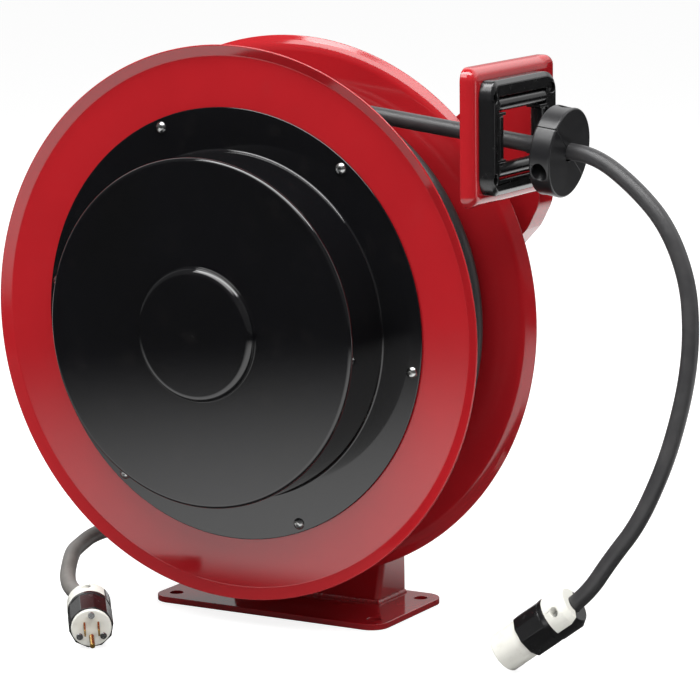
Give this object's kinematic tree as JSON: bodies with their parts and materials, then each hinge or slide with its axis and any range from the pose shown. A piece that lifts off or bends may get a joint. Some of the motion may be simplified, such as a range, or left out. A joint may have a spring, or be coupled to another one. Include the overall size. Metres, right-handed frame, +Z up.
{
  "type": "extension cord reel",
  "caption": "Spring-driven steel extension cord reel with a roller cord guide, cord stop, grounded connector and a plug on a short inlet cord.",
  "frame": {"origin": "centre of the base's bolt pattern, on the underside of the base plate", "axes": "+X from the spool towards the cord guide, +Y from the front cover to the back, +Z up"},
  "size_m": [0.721, 0.487, 0.545],
  "materials": {
    "red_paint": "gloss enamel",
    "black_paint": "semi-gloss enamel",
    "zinc": "bright zinc plate",
    "bare_steel": "turned",
    "brass": "polished",
    "brush_carbon": "matte",
    "insulator": "matte",
    "gasket_rubber": "matte",
    "black_nylon": "satin",
    "bumper_rubber": "matte",
    "cord_jacket": "matte",
    "inlet_jacket": "matte, dusty",
    "gland_plastic": "satin",
    "white_nylon": "satin",
    "sleeve_plastic": "satin"
  },
  "bodies": {
    "frame": {"base_plate": "red_paint", "bumper_lower": "bumper_rubber", "bumper_screws": "zinc", "bumper_upper": "bumper_rubber", "connector_clamp": "white_nylon", "connector_face": "white_nylon", "connector_screws": "zinc", "connector_sleeve": "sleeve_plastic", "frame_bolts": "zinc", "guide_arm": "red_paint", "guide_frame": "black_nylon", "guide_screws": "zinc", "inlet_cord": "inlet_jacket", "inlet_gland": "gland_plastic", "main_shaft": "bare_steel", "outlet_cord_inner": "cord_jacket", "outlet_cord_outer": "cord_jacket", "pawl_pin": "zinc", "pedestal": "red_paint", "plug_blades": "brass", "plug_clamp": "white_nylon", "plug_face": "white_nylon", "plug_screws": "zinc", "plug_sleeve": "sleeve_plastic", "ring_core": "insulator", "roller_pins": "zinc", "shaft_collar": "zinc", "shaft_nut": "zinc", "slip_rings": "brass", "spring_arbor": "bare_steel"},
    "spool": {"front_disc": "red_paint", "rear_disc": "red_paint", "drum": "bare_steel", "front_hub": "bare_steel", "rear_hub": "bare_steel", "front_bearing": "bare_steel", "rear_bearing": "bare_steel", "tie_rods": "zinc", "hub_rivets": "zinc", "ratchet_wheel": "bare_steel", "spring_case": "bare_steel", "case_lid": "bare_steel", "power_spring": "bare_steel", "brush_holder": "insulator", "brushes": "brush_carbon", "front_cover": "black_paint", "cover_gasket": "gasket_rubber", "cover_screws": "zinc", "cord_core": "cord_jacket", "cord_winding": "cord_jacket", "cord_underlayer": "cord_jacket"},
    "pawl": {"pawl": "bare_steel"},
    "roller_top": {"roller_top": "black_nylon"},
    "roller_bottom": {"roller_bottom": "black_nylon"},
    "roller_front": {"roller_front": "black_nylon"},
    "roller_rear": {"roller_rear": "black_nylon"}
  },
  "joints": [
    {"name": "spool_spin", "type": "hinge", "parent": "frame", "child": "spool", "pos_m": [0, -0.057, 0.287], "axis": [0, 1, 0], "range_deg": [0, 4230], "stiffness_Nm_per_rad": 0.1, "springref_deg": -1799.09},
    {"name": "pawl_pivot", "type": "hinge", "parent": "frame", "child": "pawl", "pos_m": [-0.05621, 0.003, 0.36728], "axis": [0, 1, 0], "range_deg": [-15, 8], "stiffness_Nm_per_rad": 0.6},
    {"name": "roller_top_spin", "type": "hinge", "parent": "frame", "child": "roller_top", "pos_m": [0.2685, -0.057, 0.5], "axis": [0, 1, 0], "continuous": true},
    {"name": "roller_bottom_spin", "type": "hinge", "parent": "frame", "child": "roller_bottom", "pos_m": [0.2685, -0.057, 0.442], "axis": [0, 1, 0], "continuous": true},
    {"name": "roller_front_spin", "type": "hinge", "parent": "frame", "child": "roller_front", "pos_m": [0.2685, -0.0975, 0.471], "axis": [0, 0, 1], "continuous": true},
    {"name": "roller_rear_spin", "type": "hinge", "parent": "frame", "child": "roller_rear", "pos_m": [0.2685, -0.0165, 0.471], "axis": [0, 0, 1], "continuous": true}
  ]
}
